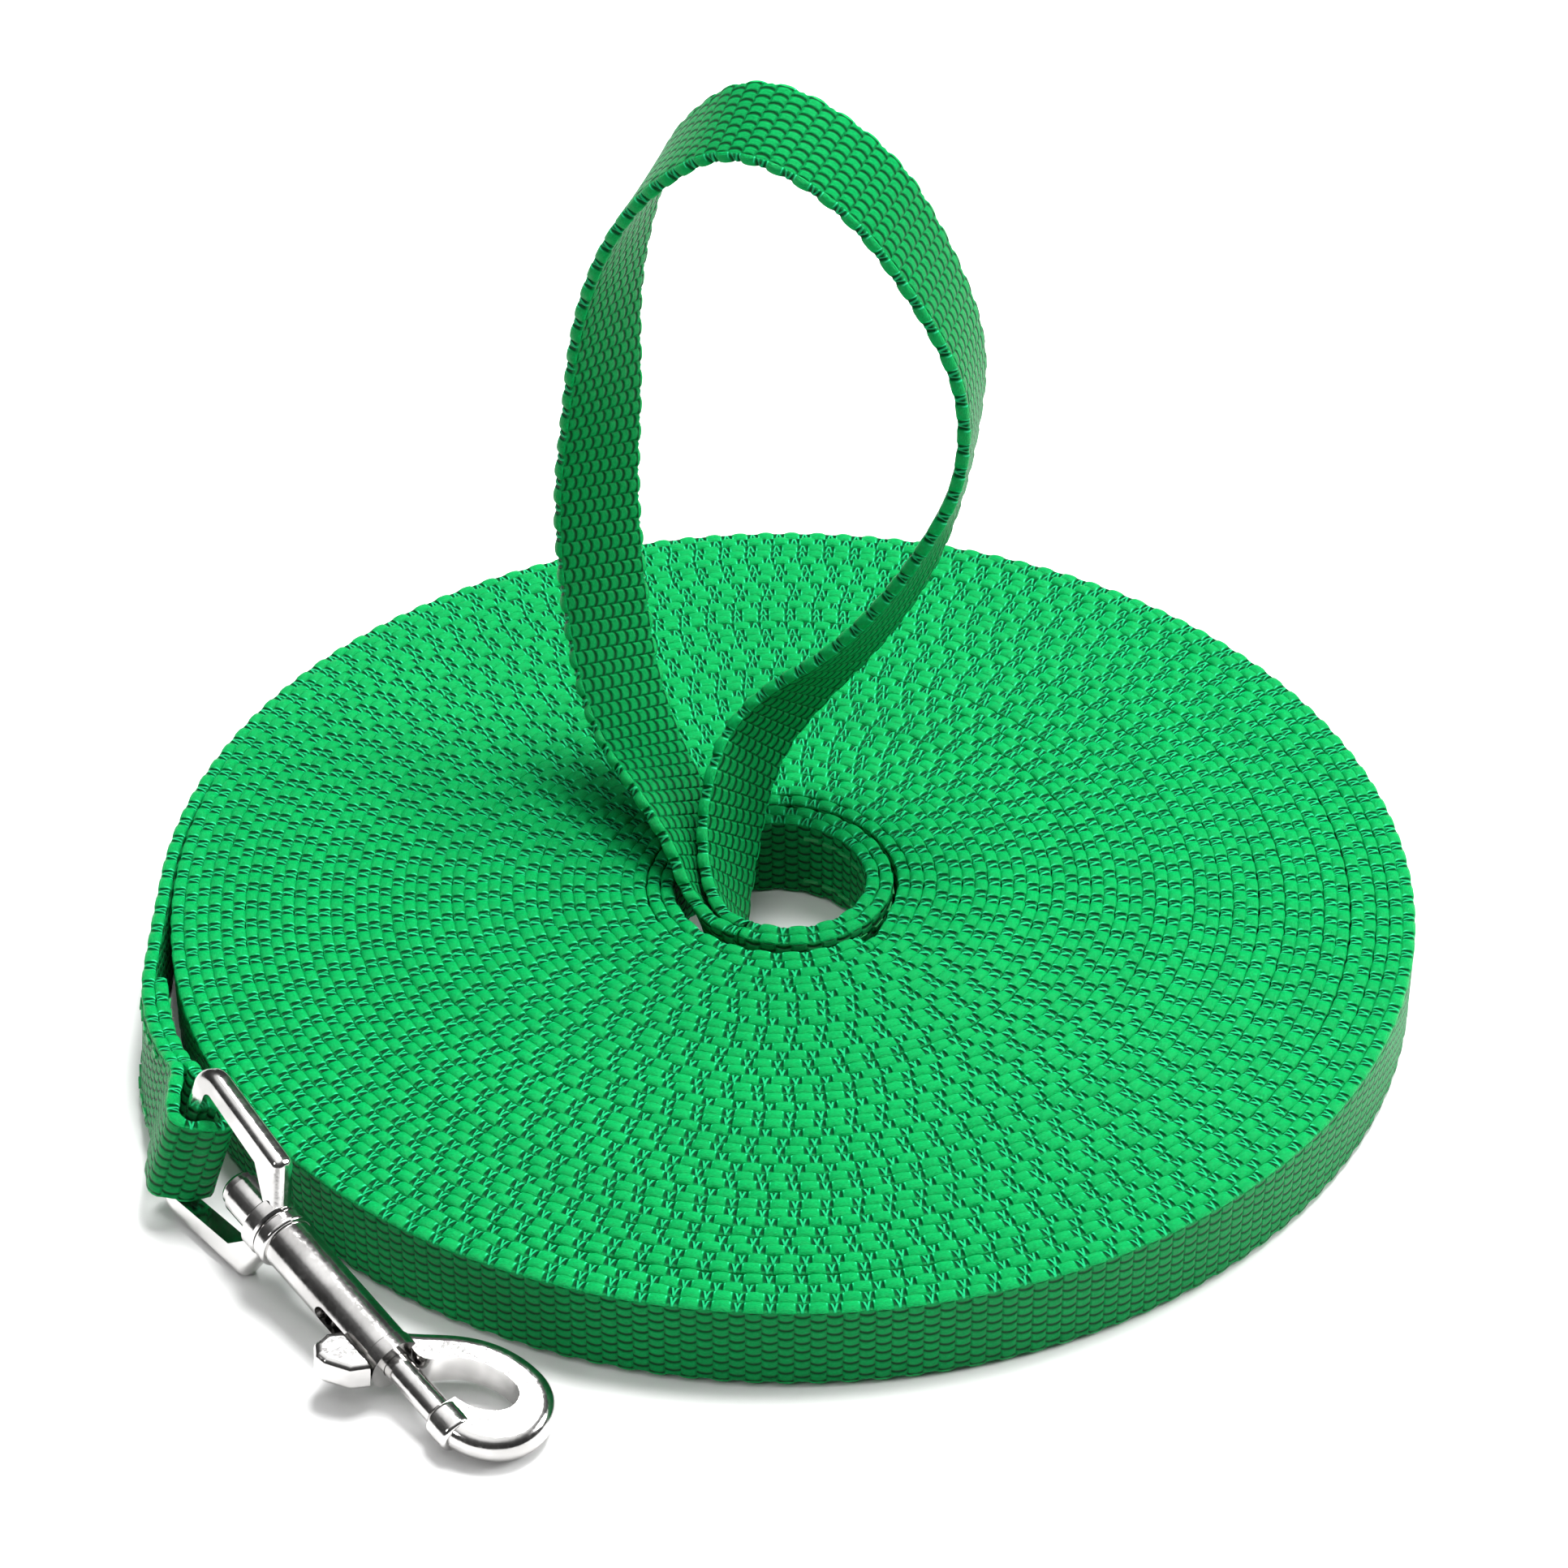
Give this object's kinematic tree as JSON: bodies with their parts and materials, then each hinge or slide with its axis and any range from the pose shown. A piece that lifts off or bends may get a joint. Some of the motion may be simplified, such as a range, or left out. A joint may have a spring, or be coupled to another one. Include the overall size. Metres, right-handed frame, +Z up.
{
  "type": "training leash",
  "caption": "Long flat webbing training leash wound into a spiral disc, with a hand loop standing out of the middle and a swivel bolt snap at the outer end.",
  "frame": {"origin": "middle of the wound coil, on the surface that the coil lies on", "axes": "+Z up along the coil's winding axis; -X, -Y is the side on which the snap lies; seen from above the webbing winds outwards anticlockwise"},
  "size_m": [0.1998, 0.2152, 0.1421],
  "materials": {
    "webbing": "plain-woven synthetic tape, slight sheen",
    "thread": "twisted sewing thread, same green as the tape",
    "snap_plating": "polished nickel plating on die-cast zinc",
    "spring_wire": "drawn spring wire"
  },
  "bodies": {
    "leash": {"webbing_coil": "webbing", "outer_lead": "webbing", "snap_end_loop": "webbing", "snap_end_stitching": "thread", "handle_hem": "webbing", "handle_loop": "webbing", "handle_stitching": "thread"},
    "eye": {"swivel_eye": "snap_plating"},
    "snap": {"snap_body": "snap_plating", "swivel_post": "snap_plating", "bolt_spring": "spring_wire"},
    "bolt": {"snap_bolt": "snap_plating", "thumb_knob": "snap_plating"}
  },
  "joints": [
    {"name": "eye_swing", "type": "hinge", "parent": "leash", "child": "eye", "pos_m": [-0.08865, -0.05918, 0.01356], "axis": [0.3093, 0.0736, 0.9481], "range_deg": [-90, 0]},
    {"name": "snap_swivel", "type": "hinge", "parent": "eye", "child": "snap", "pos_m": [-0.0762, -0.0747, 0.0107], "axis": [0.6192, -0.7723, -0.142], "continuous": true},
    {"name": "bolt_slide", "type": "slide", "parent": "snap", "child": "bolt", "axis": [-0.6192, 0.7723, 0.142], "range_m": [0, 0.0095], "stiffness_N_per_m": 120, "springref_m": -0.006, "deforming": ["bolt_spring"]}
  ]
}
